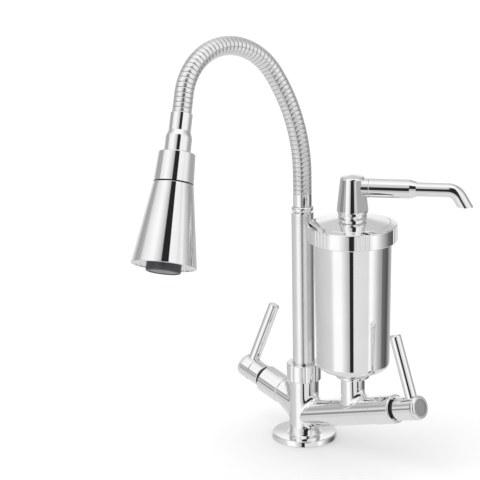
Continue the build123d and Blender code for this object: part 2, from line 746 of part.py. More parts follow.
# Water tube inside the hose, gripped by both ferrules
water_tube = along_hose(WATER_TUBE_R, LOW_FERRULE, TUBE_GRIP) - along_hose(WATER_TUBE_BORE_R, LOW_FERRULE, TUBE_GRIP)
nodes["water_tube"] = water_tube

# Spray head, measured along its axis from the end of the hose
head = Plane(hose_end, x_dir=axis_b, z_dir=head_dir).location
connector_top = TOP_FERRULE
collar_top = connector_top + CONNECTOR
cone_top = collar_top + COLLAR
cone_end = cone_top + CONE
nodes["top_ferrule"] = head * turned(
    (WATER_TUBE_R + FIT, 0),
    (TOP_FERRULE_R, 0, FERRULE_EDGE),
    (TOP_FERRULE_R, TOP_FERRULE),
    (GRIP_SPIGOT_R + FIT, TOP_FERRULE),
    (GRIP_SPIGOT_R + FIT, TUBE_GRIP),
    (WATER_TUBE_R + FIT, TUBE_GRIP),
)
connector = turned(
    (FITTING_BORE_R, TUBE_GRIP - NIPPLE_LENGTH),
    (nipple_r, TUBE_GRIP - NIPPLE_LENGTH),
    (nipple_r, TUBE_GRIP),
    (GRIP_SPIGOT_R, TUBE_GRIP),
    (GRIP_SPIGOT_R, connector_top),
    (TOP_FERRULE_R + CONNECTOR_STEP, connector_top),
    (CONNECTOR_R, connector_top + CONNECTOR_SLOPE, CONNECTOR_ROUND),
    (CONNECTOR_R, collar_top),
    (CONNECTOR_SPIGOT_R, collar_top),
    (CONNECTOR_SPIGOT_R, collar_top + CONNECTOR_SPIGOT),
    (FITTING_BORE_R, collar_top + CONNECTOR_SPIGOT),
)
nodes["head_connector"] = head * connector

pivot_end = cone_top + PIVOT_LENGTH
pivot_ring = cone_top + PIVOT_RING_AT
clip_foot = cone_top + PIVOT_CLIP_AT
clip_top = clip_foot + PIVOT_CLIP
collar = turned(
    (CONNECTOR_SPIGOT_R + FIT, collar_top),
    (COLLAR_TOP_R, collar_top, COLLAR_ROUND),
    (COLLAR_R, cone_top),
    (PIVOT_R, cone_top),
    (PIVOT_R, pivot_end),
    (COLLAR_BORE_R, pivot_end),
    (COLLAR_BORE_R, collar_top + CONNECTOR_SPIGOT),
    (CONNECTOR_SPIGOT_R + FIT, collar_top + CONNECTOR_SPIGOT),
)
collar -= o_ring_groove(PIVOT_R, PIVOT_RING_WIRE, pivot_ring)
collar -= pipe(PIVOT_R + FIT, PIVOT_R - PIVOT_CLIP_BITE, clip_foot, clip_top)
nodes["head_collar"] = head * collar
nodes["pivot_o_ring"] = head * o_ring(PIVOT_R, PIVOT_RING_WIRE, pivot_ring)
clip_inner = PIVOT_R - PIVOT_CLIP_BITE + FIT
clip_outer = PIVOT_R + PIVOT_CLIP_BITE
nodes["pivot_clip"] = head * pipe(clip_outer, clip_inner, clip_foot, clip_top)

# Cone that turns on the collar's pivot and carries the spray plate and the aerator
cone_start = cone_top + SEAM
cone_start_r = COLLAR_R + (CONE_R - COLLAR_R) * SEAM / CONE
plate_foot = cone_end - PLATE_RECESS
plate_top = plate_foot - PLATE_THICK
lip_bore = CONE_R - CONE_LIP
cone = turned(
    (PIVOT_R + FIT, cone_start),
    (cone_start_r, cone_start, CONE_TOP_ROUND),
    (CONE_R, cone_end, CONE_EDGE),
    (lip_bore, cone_end),
    (lip_bore, plate_top),
    (lip_bore - PLATE_LEDGE, plate_top),
    (CONE_CAVITY_TOP_R, pivot_end + PLAY),
    (PIVOT_R + FIT, pivot_end + PLAY),
)
cone -= pipe(clip_outer + FIT, PIVOT_R, clip_foot - PLAY, clip_top + PLAY)
nodes["spray_cone"] = head * cone

nozzle = bar(NOZZLE_R, plate_top, plate_foot, x=NOZZLE_CIRCLE_R)
plate = pipe(lip_bore - FIT, PLATE_HOLE_R, plate_top, plate_foot)
plate -= [Rot(Z=TURN * i / NOZZLES) * nozzle for i in range(NOZZLES)]
nodes["spray_plate"] = head * plate

aerator_end = cone_end + AERATOR_DROP
face_end = aerator_end - AERATOR_INSET
face_top = face_end - AERATOR_FACE
housing = turned(
    (AERATOR_INLET_R, plate_top - AERATOR_NECK),
    (PLATE_HOLE_R - FIT, plate_top - AERATOR_NECK),
    (PLATE_HOLE_R - FIT, plate_foot),
    (AERATOR_R, plate_foot),
    (AERATOR_R, aerator_end, AERATOR_EDGE),
    (AERATOR_BORE_R, aerator_end),
    (AERATOR_BORE_R, face_top),
    (AERATOR_INLET_R, face_top),
)
nodes["aerator_housing"] = head * housing
face = bar(AERATOR_BORE_R - FIT, face_top, face_end)
reach = AERATOR_BORE_R - AERATOR_PITCH
steps = range(-math.floor(reach / AERATOR_PITCH), math.floor(reach / AERATOR_PITCH) + 1)
spots = [(i * AERATOR_PITCH, j * AERATOR_PITCH) for i in steps for j in steps]
face -= [bar(AERATOR_HOLE_R, face_top, face_end, x, y) for x, y in spots if math.hypot(x, y) <= reach]
nodes["aerator_face"] = head * face

# Canister on the right arm's stub, clamped by a nut from inside
gasket_foot = STUB_TOP + SEAT_RING + SEAT_NECK
canister_foot = gasket_foot + FOOT_GASKET
shoulder = canister_foot + CANISTER_BODY
canister_top = shoulder + CANISTER_RIM
floor_top = canister_foot + CANISTER_FLOOR
inner_foot_r = CANISTER_FOOT_R - CANISTER_WALL
shoulder_r = CANISTER_RIM_R - CANISTER_RIM_LEDGE
inner_top_r = shoulder_r - CANISTER_WALL
shell = turned(
    (TAILPIECE_R + FIT, canister_foot),
    (CANISTER_FOOT_R, canister_foot, CANISTER_FOOT_ROUND),
    (shoulder_r, shoulder),
    (CANISTER_RIM_R, shoulder + CANISTER_RIM_STEP),
    (CANISTER_RIM_R, canister_top),
    (inner_top_r, canister_top),
    (inner_foot_r, floor_top, CANISTER_FOOT_ROUND - CANISTER_WALL),
    (TAILPIECE_R + FIT, floor_top),
)
nodes["filter_canister"] = canister_axis * shell
nodes["canister_seat"] = canister_axis * turned(
    (TAILPIECE_R + FIT, STUB_TOP),
    (SEAT_RING_R, STUB_TOP, SEAT_RING_ROUND),
    (SEAT_RING_R, STUB_TOP + SEAT_RING, SEAT_RING_ROUND),
    (SEAT_NECK_R, STUB_TOP + SEAT_RING),
    (SEAT_NECK_R, gasket_foot),
    (TAILPIECE_R + FIT, gasket_foot),
)
nodes["canister_gasket"] = canister_axis * pipe(SEAT_NECK_R, TAILPIECE_R + FIT, gasket_foot, canister_foot)
nut_seat = floor_top + NUT_WASHER
nodes["clamp_washer"] = canister_axis * pipe(NUT_WASHER_R, TAILPIECE_R + FIT, floor_top, nut_seat)
clamp_nut = extrude(RegularPolygon(CLAMP_NUT_FLATS / 2, 6, major_radius=False), tailpiece_top - nut_seat)
clamp_nut -= bar(TAILPIECE_R + FIT, 0, tailpiece_top - nut_seat)
nodes["clamp_nut"] = canister_axis * Pos(Z=nut_seat) * clamp_nut

# Filter block between two caps, with an outlet nipple into the lid
block_foot = tailpiece_top + BLOCK_CAP
block_top = block_foot + BLOCK_HEIGHT
cap_top = block_top + BLOCK_CAP
gasket_top = canister_top + LID_GASKET
lid_boss_foot = gasket_top - LID_BOSS_DROP
socket_roof = lid_boss_foot + LID_SOCKET_DEPTH
nipple_top = socket_roof - OUTLET_NIPPLE_GAP
nipple_ring = nipple_top - NIPPLE_RING_AT
bottom_cap = bar(BLOCK_CAP_R, tailpiece_top, block_foot)
slot = Pos(Z=tailpiece_top + BLOCK_SLOT_DEPTH / 2) * Box(2 * BLOCK_CAP_R, BLOCK_SLOT, BLOCK_SLOT_DEPTH)
bottom_cap -= slot
bottom_cap -= Rot(Z=90) * slot
nodes["filter_bottom_cap"] = canister_axis * bottom_cap
nodes["filter_block"] = canister_axis * pipe(BLOCK_R, BLOCK_BORE_R, block_foot, block_top)
top_cap = turned(
    (OUTLET_NIPPLE_BORE_R, block_top),
    (BLOCK_CAP_R, block_top),
    (BLOCK_CAP_R, cap_top),
    (OUTLET_NIPPLE_R, cap_top),
    (OUTLET_NIPPLE_R, nipple_top),
    (OUTLET_NIPPLE_BORE_R, nipple_top),
)
top_cap -= o_ring_groove(OUTLET_NIPPLE_R, NIPPLE_RING_WIRE, nipple_ring)
nodes["filter_top_cap"] = canister_axis * top_cap
nodes["nipple_o_ring"] = canister_axis * o_ring(OUTLET_NIPPLE_R, NIPPLE_RING_WIRE, nipple_ring)
lid_gasket_r = CANISTER_RIM_R - LID_GASKET_INSET
nodes["lid_gasket"] = canister_axis * pipe(lid_gasket_r, lid_gasket_r - LID_GASKET_WIDTH, canister_top, gasket_top)

# Lid with the hollow post that the turret turns on
flange_top = gasket_top + LID_FLANGE
lid_edge = flange_top + LID_EDGE
lid_crown = lid_edge + LID_CROWN
neck_top = lid_crown + NECK_RING
turret_foot = neck_top + PLAY
turret_shoulder = turret_foot + TURRET_SHOULDER
spout_z = turret_foot + SPOUT_RISE
post_top = turret_shoulder - TURRET_ROOF
post_ring_low = turret_foot + POST_RING_LOW + TURRET_CLIP
post_ring_high = spout_z + POST_RING_HIGH
turret_clip_foot = neck_top + TURRET_CLIP_AT
turret_clip_top = turret_clip_foot + TURRET_CLIP
lid_eye = CANISTER_RIM_R - LID_LEDGE
lid = turned(
    (OUTLET_NIPPLE_R + FIT, lid_boss_foot),
    (LID_BOSS_R, lid_boss_foot),
    (LID_BOSS_R, gasket_top),
    (CANISTER_RIM_R, gasket_top),
    (CANISTER_RIM_R, flange_top),
    (lid_eye, flange_top),
    (lid_eye, lid_edge, LID_EDGE_ROUND),
    (LID_CROWN_R, lid_crown),
    (POST_R, lid_crown),
    (POST_R, post_top),
    (0, post_top),
    (0, post_top - POST_CAP),
    (POST_BORE_R, post_top - POST_CAP),
    (POST_BORE_R, socket_roof),
    (OUTLET_NIPPLE_R + FIT, socket_roof),
)
spout_turn = math.radians(SPOUT_BEARING)
spout_dir = Vector(math.cos(spout_turn), math.sin(spout_turn), 0)
spout_axis = Plane((0, 0, spout_z), x_dir=(0, 0, 1), z_dir=spout_dir).location
lid -= spout_axis * bar(POST_PORT_R, -POST_R - FIT, POST_R + FIT)
for height in (post_ring_low, post_ring_high):
    lid -= o_ring_groove(POST_R, POST_RING_WIRE, height)
lid -= pipe(POST_R + FIT, POST_R - TURRET_CLIP_BITE, turret_clip_foot, turret_clip_top)
nodes["canister_lid"] = canister_axis * lid
low_seal = o_ring(POST_R, POST_RING_WIRE, post_ring_low)
nodes["post_o_rings"] = canister_axis * (low_seal + o_ring(POST_R, POST_RING_WIRE, post_ring_high))
clip_reach = POST_R + TURRET_CLIP_BITE
clip_grip = POST_R - TURRET_CLIP_BITE + FIT
nodes["turret_clip"] = canister_axis * pipe(clip_reach, clip_grip, turret_clip_foot, turret_clip_top)
nodes["neck_ring"] = canister_axis * turned(
    (POST_R + FIT, lid_crown),
    (NECK_RING_R, lid_crown),
    (NECK_RING_R, neck_top, NECK_RING_ROUND),
    (POST_R + FIT, neck_top),
)

# Screw ring over the lid's flange; a snap ring under the flange lifts the lid with it
ring_bore = CANISTER_RIM_R + FIT
ring_r = ring_bore + RING_WALL
ring_eye = lid_eye + RING_EYE_GAP
snap_top = gasket_top - FIT
snap_foot = snap_top - SNAP_RING
ring_roof = flange_top + PLAY
ring_top = ring_roof + RING_LIP
ring = turned(
    (ring_bore, shoulder),
    (ring_r, shoulder, RING_FOOT_ROUND),
    (ring_r, ring_top - RING_SLOPE, RING_TOP_ROUND),
    (ring_eye, ring_top),
    (ring_eye, ring_roof),
    (ring_bore, ring_roof),
)
ring -= pipe(ring_bore + SNAP_RING_BITE + FIT, ring_bore - FIT, snap_foot, snap_top)
flute = bar(FLUTE_R, shoulder, ring_top, x=ring_r + FLUTE_R - FLUTE_DEPTH)
turns = [FLUTE_PHASE + TURN * g / FLUTE_GROUPS + FLUTE_STEP * (i - (FLUTES - 1) / 2) for g in range(FLUTE_GROUPS) for i in range(FLUTES)]
ring -= [Rot(Z=angle) * flute for angle in turns]
nodes["cap_ring"] = canister_axis * ring
nodes["snap_ring"] = canister_axis * pipe(ring_bore + SNAP_RING_BITE, CANISTER_RIM_R - SNAP_RING_REACH, snap_foot, snap_top)

# Turret with the root of the filter spout
turret = turned(
    (0, turret_foot),
    (TURRET_FOOT_R, turret_foot),
    (TURRET_WIDE_R, turret_foot + TURRET_WIDE, TURRET_FOOT_ROUND),
    (TURRET_TOP_R, turret_shoulder, TURRET_TOP_ROUND),
    (0, turret_shoulder + TURRET_DOME),
)
turret += spout_axis * bar(SPOUT_R, 0, SPOUT_ROOT)
turret -= bar(POST_R + FIT, turret_foot, post_top + PLAY)
turret -= bar(TURRET_CHAMBER_R, spout_z - TURRET_CHAMBER_HALF, spout_z + TURRET_CHAMBER_HALF)
turret -= bar(clip_reach + FIT, turret_clip_foot - PLAY, turret_clip_top + PLAY)
turret -= spout_axis * bar(SPOUT_BORE_R, 0, SPOUT_ROOT)
turret -= spout_axis * bar(SPOUT_SPIGOT_R + FIT, SPOUT_ROOT - SPOUT_SPIGOT - PLAY, SPOUT_ROOT)
nodes["spout_turret"] = canister_axis * turret

# Filter spout: a thick sleeve and a thin tube bent down at its end
thick_end = SPOUT_ROOT + SPOUT_SLEEVE
cone_tip = thick_end + SPOUT_CONE
tube_foot = cone_tip - SPOUT_TUBE_GRIP
sleeve = turned(
    (SPOUT_BORE_R, SPOUT_ROOT - SPOUT_SPIGOT),
    (SPOUT_SPIGOT_R, SPOUT_ROOT - SPOUT_SPIGOT),
    (SPOUT_SPIGOT_R, SPOUT_ROOT),
    (SPOUT_R, SPOUT_ROOT, FERRULE_EDGE),
    (SPOUT_R, thick_end),
    (SPOUT_TUBE_R + FIT + SPOUT_CONE_LIP, cone_tip),
    (SPOUT_TUBE_R + FIT, cone_tip),
    (SPOUT_TUBE_R + FIT, tube_foot),
    (SPOUT_BORE_R, tube_foot),
)
nodes["spout_sleeve"] = canister_axis * spout_axis * sleeve
bend = math.radians(SPOUT_BEND)
bend_foot = Vector(0, 0, spout_z) + spout_dir * SPOUT_STRAIGHT
bend_centre = bend_foot - up * SPOUT_BEND_R
bend_mid = bend_centre + (spout_dir * math.sin(bend / 2) + up * math.cos(bend / 2)) * SPOUT_BEND_R
bend_tail = bend_centre + (spout_dir * math.sin(bend) + up * math.cos(bend)) * SPOUT_BEND_R
tube_start = Vector(0, 0, spout_z) + spout_dir * tube_foot
outlet_z = spout_z - SPOUT_DROP
tip_run = (bend_tail.Z - outlet_z) / math.sin(bend) + SPOUT_TUBE_R
tip = bend_tail + (spout_dir * math.cos(bend) - up * math.sin(bend)) * tip_run
spout_path = Wire(
    [
        Edge.make_line(tube_start, bend_foot),
        Edge.make_three_point_arc(bend_foot, bend_mid, bend_tail),
        Edge.make_line(bend_tail, tip),
    ]
)
spout_start = Plane(tube_start, z_dir=spout_dir)
spout_tube = sweep(spout_start * Circle(SPOUT_TUBE_R), path=spout_path)
spout_tube -= sweep(spout_start * Circle(SPOUT_TUBE_R - SPOUT_TUBE_WALL), path=spout_path)
spout_tube -= bar(2 * SPOUT_STRAIGHT, outlet_z - SPOUT_DROP, outlet_z)
nodes["spout_tube"] = canister_axis * spout_tube

for name, solid in nodes.items():
    export_step(solid, "parts/" + name + ".step")
print(len(nodes), "nodes")
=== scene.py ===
# %% [markdown]
# A kitchen tap with a filter
#
# This lesson dresses a chrome kitchen tap: a body with two levers, a riser with a bendy hose and a spray
# head, and a filter canister with its own small spout. The solids already stand in their places in metres,
# so each step below only has to give them a finish, or to draw a piece again as a smoother surface in the
# same place.

# %% Load the solids
import json
import math

import bpy
import numpy as np
from mathutils import Matrix


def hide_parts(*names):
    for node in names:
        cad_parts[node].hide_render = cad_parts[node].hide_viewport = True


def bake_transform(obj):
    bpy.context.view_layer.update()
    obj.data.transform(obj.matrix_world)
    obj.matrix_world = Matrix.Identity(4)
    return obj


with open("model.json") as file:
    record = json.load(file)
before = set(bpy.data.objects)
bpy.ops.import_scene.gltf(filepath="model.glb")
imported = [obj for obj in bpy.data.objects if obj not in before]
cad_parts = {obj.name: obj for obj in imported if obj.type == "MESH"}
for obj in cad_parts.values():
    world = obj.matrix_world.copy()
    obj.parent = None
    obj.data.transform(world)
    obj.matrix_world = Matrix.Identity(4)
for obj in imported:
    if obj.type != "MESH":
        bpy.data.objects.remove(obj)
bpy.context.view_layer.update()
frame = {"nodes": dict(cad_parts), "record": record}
nodes = frame["nodes"]
scene = bpy.context.scene
scene.view_settings.view_transform = "Standard"

# %% [markdown]
# The camera
#
# A long lens keeps the upright tubes almost parallel, as in a catalogue picture. The camera stands to the
# front right of the tap and a little above it. Its place, its direction and a roll of one degree make up one
# matrix: the columns are the picture's right, the picture's up and the way back from the object.

# %% Place the camera
CAMERA_PLACE = np.array([1.1858, -1.2906, 0.6890])
CAMERA_FORWARD = np.array([-0.67098, 0.68693, -0.27932])
CAMERA_ROLL = math.radians(-1.01)
CAMERA_LENS = 160.38
SENSOR_WIDTH = 36.0
UP = np.array([0.0, 0.0, 1.0])

forward = CAMERA_FORWARD / np.linalg.norm(CAMERA_FORWARD)
level = np.cross(forward, UP)
level = level / np.linalg.norm(level)
upright = np.cross(level, forward)
right = math.cos(CAMERA_ROLL) * level + math.sin(CAMERA_ROLL) * upright
top = math.cos(CAMERA_ROLL) * upright - math.sin(CAMERA_ROLL) * level

camera_data = bpy.data.cameras.new("camera")
camera_data.lens = CAMERA_LENS
camera_data.sensor_width = SENSOR_WIDTH
camera = bpy.data.objects.new("camera", camera_data)
scene.collection.objects.link(camera)
matrix = np.eye(4)
matrix[:3, 0] = right
matrix[:3, 1] = top
matrix[:3, 2] = -forward
matrix[:3, 3] = CAMERA_PLACE
camera.matrix_world = Matrix(matrix.tolist())
scene.camera = camera
print("camera at", CAMERA_PLACE, "with a", CAMERA_LENS, "mm lens")

# %% [markdown]
# The studio round the chrome
#
# Chrome has hardly any colour of its own: it shows the room. A product photographer therefore builds a white
# tent and hangs a few grey and black cards in it, and these become the dark bands on the tubes. The world
# does this job here. Mirror rays see three rings of cards laid out by compass direction: one below the
# level, one round the level and one above it. Four smaller cards hang before the rings at the sides, a tall
# black card stands where the camera is, and the roof is white on that side. The camera itself sees white,
# and soft light gets one plain level, so that a grey piece renders about as grey as it is written.

# %% Lay out the cards
# Each pair is a direction in degrees, counted from the camera towards the picture's right, and a grey.
TABLE_CARDS = [
    (-180, 0.52),
    (-150, 0.50),
    (-112, 0.58),
    (-72, 0.68),
    (-66, 0.80),
    (-59, 1.00),
    (-38, 1.00),
    (-20, 0.62),
    (-11, 0.45),
    (-10, 0.02),
    (0.5, 0.02),
    (1.5, 0.76),
    (46, 0.72),
    (52, 1.00),
    (59, 1.00),
    (80, 0.53),
    (104, 0.15),
    (124, 0.08),
    (138, 0.30),
    (150, 0.45),
    (180, 0.52),
]
WALL_CARDS = [
    (-180, 0.95),
    (-150, 0.80),
    (-126, 0.36),
    (-108, 0.44),
    (-95, 0.70),
    (-80, 0.72),
    (-60, 1.00),
    (-38, 0.98),
    (-29, 0.82),
    (-20, 0.58),
    (14, 0.50),
    (26, 0.72),
    (50, 0.86),
    (72, 0.98),
    (87, 0.76),
    (98, 0.52),
    (112, 0.34),
    (127, 0.26),
    (150, 0.55),
    (180, 0.95),
]
UPPER_CARDS = [
    (-180, 0.64),
    (-158, 0.60),
    (-138, 0.38),
    (-118, 0.42),
    (-104, 0.66),
    (-90, 0.84),
    (-60, 1.00),
    (-48, 0.96),
    (-27, 0.74),
    (-15, 0.60),
    (-4, 0.36),
    (26, 0.60),
    (32, 0.94),
    (58, 0.90),
    (68, 0.78),
    (77, 0.90),
    (86, 0.74),
    (96, 0.54),
    (117, 0.38),
    (150, 0.46),
    (180, 0.64),
]

# An edge is a pair: where a card begins to show, and where it is full. Heights are the sine of the climb.
WALL_FOOT = (-0.21, -0.19)
UPPER_FOOT = (0.22, 0.42)
TABLE_TOP = (-0.42, -0.60)
TABLE_GREY = 0.72

# Each smaller card has a left and a right edge in degrees, a lower and an upper edge, and a grey. They are a
# dark gap above the table on the left, a shelf above it on the right, and two that draw a band on each arm.
SMALL_CARDS = [
    ((-112, -102), (-70, -76), WALL_FOOT, (0.03, -0.08), 0.26),
    ((22, 38), (136, 124), WALL_FOOT, (0.08, -0.06), 0.40),
    ((-88, -80), (-58, -66), (0.02, 0.08), (0.36, 0.28), 0.42),
    ((-118, -112), (-91, -96), (0.12, 0.18), (0.42, 0.34), 0.42),
]

# The black card leans to the right as it climbs, and its upper half is narrower on the left.
BLACK_GREY = 0.02
BLACK_LEAN = 0.44
BLACK_RIGHT = (14, 11)
BLACK_LEFT = (-3, 1)
BLACK_LEFT_LOW = math.radians(-16.5)
BLACK_LEFT_HIGH = math.radians(-4)
BLACK_NARROWS = (0.36, 0.56)
BLACK_TOP = (0.88, 0.80)

# The roof is white above the camera and greyer behind the tap.
ROOF_FOOT = (0.80, 0.90)
ROOF_TURN = (-0.75, 0.25)
ROOF_GREYS = (0.64, 1.0)

LEVEL_OF_MIRRORED_LIGHT = 1.06
LEVEL_OF_SOFT_LIGHT = 1.03
WHITE = (1.0, 1.0, 1.0, 1.0)


def link(tree, source, target):
    """Joins an output socket to an input socket."""
    tree.links.new(source, target)


def add(tree, kind, **values):
    """New node of a kind, with properties set by name."""
    made = tree.nodes.new(kind)
    for key, value in values.items():
        setattr(made, key, value)
    return made


toward = np.array([CAMERA_PLACE[0], CAMERA_PLACE[1], 0.0])
toward = toward / np.linalg.norm(toward)
aside = np.cross(UP, toward)

world = bpy.data.worlds.new("studio")
scene.world = world
world.use_nodes = True
sky = world.node_tree
sky.nodes.clear()
direction = add(sky, "ShaderNodeTexCoord")
along_view = add(sky, "ShaderNodeVectorMath", operation="DOT_PRODUCT")
along_view.inputs[1].default_value = toward
across_view = add(sky, "ShaderNodeVectorMath", operation="DOT_PRODUCT")
across_view.inputs[1].default_value = aside
link(sky, direction.outputs["Generated"], along_view.inputs[0])
link(sky, direction.outputs["Generated"], across_view.inputs[0])
bearing = add(sky, "ShaderNodeMath", operation="ARCTAN2")
link(sky, across_view.outputs["Value"], bearing.inputs[0])
link(sky, along_view.outputs["Value"], bearing.inputs[1])
compass = bearing.outputs["Value"]
split = add(sky, "ShaderNodeSeparateXYZ")
link(sky, direction.outputs["Generated"], split.inputs["Vector"])
climb = split.outputs["Z"]
share = add(sky, "ShaderNodeMapRange")
share.inputs["From Min"].default_value = -math.pi
share.inputs["From Max"].default_value = math.pi
link(sky, compass, share.inputs["Value"])


def ring_of_cards(stops):
    """Greys round the compass: a ramp over the direction, from pairs of degrees and grey."""
    made = add(sky, "ShaderNodeValToRGB")
    ramp = made.color_ramp.elements
    ramp.remove(ramp[1])
    ramp[0].position = 0.0
    ramp[0].color = (stops[0][1], stops[0][1], stops[0][1], 1.0)
    for angle, grey in stops[1:]:
        stop = ramp.new((angle + 180.0) / 360.0)
        stop.color = (grey, grey, grey, 1.0)
    link(sky, share.outputs["Result"], made.inputs["Fac"])
    return made.outputs["Color"]


def fade(source, start, end, low=0.0, high=1.0):
    """Value that runs smoothly from low to high while the source runs from start to end."""
    made = add(sky, "ShaderNodeMapRange", interpolation_type="SMOOTHSTEP")
    made.inputs["From Min"].default_value = start
    made.inputs["From Max"].default_value = end
    made.inputs["To Min"].default_value = low
    made.inputs["To Max"].default_value = high
    link(sky, source, made.inputs["Value"])
    return made.outputs["Result"]


def sweep(source, edge):
    """Fade over an edge that is given in degrees."""
    return fade(source, math.radians(edge[0]), math.radians(edge[1]))


def work(operation, left, other):
    """One sum on two values; the other is a socket or a number."""
    made = add(sky, "ShaderNodeMath", operation=operation)
    link(sky, left, made.inputs[0])
    if isinstance(other, float):
        made.inputs[1].default_value = other
    else:
        link(sky, other, made.inputs[1])
    return made.outputs["Value"]


def overlap(sides, ends):
    """Mask that is one where two pairs of masks are all one."""
    return work("MULTIPLY", work("MULTIPLY", *sides), work("MULTIPLY", *ends))


def over(mask, below, above):
    """Colour below, covered by the colour or grey above where the mask is one."""
    made = add(sky, "ShaderNodeMix", data_type="RGBA")
    link(sky, mask, made.inputs["Factor"])
    link(sky, below, made.inputs["A"])
    if isinstance(above, float):
        made.inputs["B"].default_value = (above, above, above, 1.0)
    else:
        link(sky, above, made.inputs["B"])
    return made.outputs["Result"]


print("cards:", len(TABLE_CARDS) + len(WALL_CARDS) + len(UPPER_CARDS) + len(SMALL_CARDS))

# %% Hang the cards
room = over(fade(climb, *WALL_FOOT), ring_of_cards(TABLE_CARDS), ring_of_cards(WALL_CARDS))
room = over(fade(climb, *UPPER_FOOT), room, ring_of_cards(UPPER_CARDS))
room = over(fade(climb, *TABLE_TOP), room, TABLE_GREY)

for left_edge, right_edge, lower_edge, upper_edge, grey in SMALL_CARDS:
    sides = (sweep(compass, left_edge), sweep(compass, right_edge))
    ends = (fade(climb, *lower_edge), fade(climb, *upper_edge))
    room = over(overlap(sides, ends), room, grey)

leaning = work("SUBTRACT", compass, work("MULTIPLY", climb, BLACK_LEAN))
black_left = fade(climb, *BLACK_NARROWS, BLACK_LEFT_LOW, BLACK_LEFT_HIGH)
past_left = work("SUBTRACT", compass, black_left)
sides = (sweep(past_left, BLACK_LEFT), sweep(leaning, BLACK_RIGHT))
ends = (fade(climb, *WALL_FOOT), fade(climb, *BLACK_TOP))
room = over(overlap(sides, ends), room, BLACK_GREY)

roof = fade(along_view.outputs["Value"], *ROOF_TURN, *ROOF_GREYS)
room = over(fade(climb, *ROOF_FOOT), room, roof)
print("black card up to", round(math.degrees(math.asin(sum(BLACK_TOP) / 2))), "degrees")

# %% Choose what each kind of ray sees
ray = add(sky, "ShaderNodeLightPath")
soft = add(sky, "ShaderNodeBackground")
soft.inputs["Color"].default_value = WHITE
soft.inputs["Strength"].default_value = LEVEL_OF_SOFT_LIGHT
mirrored = add(sky, "ShaderNodeBackground")
mirrored.inputs["Strength"].default_value = LEVEL_OF_MIRRORED_LIGHT
link(sky, room, mirrored.inputs["Color"])
white = add(sky, "ShaderNodeBackground")
white.inputs["Color"].default_value = WHITE
bounce = add(sky, "ShaderNodeMath", operation="MAXIMUM")
link(sky, ray.outputs["Is Glossy Ray"], bounce.inputs[0])
link(sky, ray.outputs["Is Transmission Ray"], bounce.inputs[1])
lighting = add(sky, "ShaderNodeMixShader")
link(sky, bounce.outputs["Value"], lighting.inputs["Fac"])
link(sky, soft.outputs["Background"], lighting.inputs[1])
link(sky, mirrored.outputs["Background"], lighting.inputs[2])
seen = add(sky, "ShaderNodeMixShader")
link(sky, ray.outputs["Is Camera Ray"], seen.inputs["Fac"])
link(sky, lighting.outputs["Shader"], seen.inputs[1])
link(sky, white.outputs["Background"], seen.inputs[2])
sky_out = add(sky, "ShaderNodeOutputWorld")
link(sky, seen.outputs["Shader"], sky_out.inputs["Surface"])
print("soft light at", LEVEL_OF_SOFT_LIGHT)

# %% [markdown]
# Floor and lamp
#
# The tap stands on a plain pale worktop. One wide lamp, high on the left, gives the soft light a direction
# and lays a faint shadow under the tap. The lamp and the worktop are kept out of mirror rays: the cards
# alone draw the chrome.

# %% Lay the floor and hang the lamp
FLOOR_HALF = 12.0
FLOOR_DROP = 0.0004
FLOOR_DULLNESS = 0.9
FLOOR_MOTTLE = 3.0
FLOOR_DARK = (0.97, 0.97, 0.97, 1.0)
FLOOR_LIGHT = (0.985, 0.985, 0.985, 1.0)
LAMP_SIZE = 1.6
LAMP_POWER = 6.0
LAMP_PLACE = (-0.6, -1.0, 2.0)
LAMP_TILT = math.radians(27)
LAMP_TURN = math.radians(-31)


def new_mesh(name, verts, faces):
    """Object at the origin from an array of points and an array of face corners."""
    mesh = bpy.data.meshes.new(name)
    mesh.from_pydata(np.asarray(verts, float).tolist(), [], np.asarray(faces, int).tolist())
    mesh.update()
    made = bpy.data.objects.new(name, mesh)
    scene.collection.objects.link(made)
    return made


corners = np.array([[-1, -1, 0], [1, -1, 0], [1, 1, 0], [-1, 1, 0]]) * FLOOR_HALF
floor = new_mesh("floor", corners - UP * FLOOR_DROP, [[0, 1, 2, 3]])
floor.visible_glossy = False
worktop = bpy.data.materials.new("pale_worktop")
worktop.use_nodes = True
tree = worktop.node_tree
paint = tree.nodes["Principled BSDF"]
paint.inputs["Roughness"].default_value = FLOOR_DULLNESS
paint.inputs["Specular IOR Level"].default_value = 0.0
place = add(tree, "ShaderNodeTexCoord")
mottle = add(tree, "ShaderNodeTexNoise")
mottle.inputs["Scale"].default_value = FLOOR_MOTTLE
shade = add(tree, "ShaderNodeValToRGB")
shade.color_ramp.elements[0].color = FLOOR_DARK
shade.color_ramp.elements[1].color = FLOOR_LIGHT
link(tree, place.outputs["Object"], mottle.inputs["Vector"])
link(tree, mottle.outputs["Fac"], shade.inputs["Fac"])
link(tree, shade.outputs["Color"], paint.inputs["Base Color"])
floor.data.materials.append(worktop)

lamp_data = bpy.data.lights.new("wide_lamp", "AREA")
lamp_data.shape = "DISK"
lamp_data.size = LAMP_SIZE
lamp_data.energy = LAMP_POWER
lamp = bpy.data.objects.new("wide_lamp", lamp_data)
scene.collection.objects.link(lamp)
lamp.location = LAMP_PLACE
lamp.rotation_euler = (LAMP_TILT, 0.0, LAMP_TURN)
lamp.visible_glossy = False
print("floor and lamp in place")

# %% [markdown]
# Finishes
#
# Each finish is a small set of noise patterns on the object's own coordinates. Chrome is a mirror, so its
# pattern is faint: the plating is a little darker in large soft patches, and very fine wiping marks change
# its roughness. Plastics get a fine moulded grain, and rubber is darker and duller still.

# %% Write the finishes
# The middle part of the noise carries the whole change of colour and of roughness.
PATCH_STOPS = (0.35, 0.65)
GRAIN_STOPS = (0.3, 0.7)
PATCH_DETAIL = 3.0
GRAIN_DETAIL = 2.0
GRAIN_DEPTH = 0.0001
# Grey multiplied into the hose's colour in the gaps between the bands: painted shade.
HOSE_GAP_SHADE_GREY = 0.34

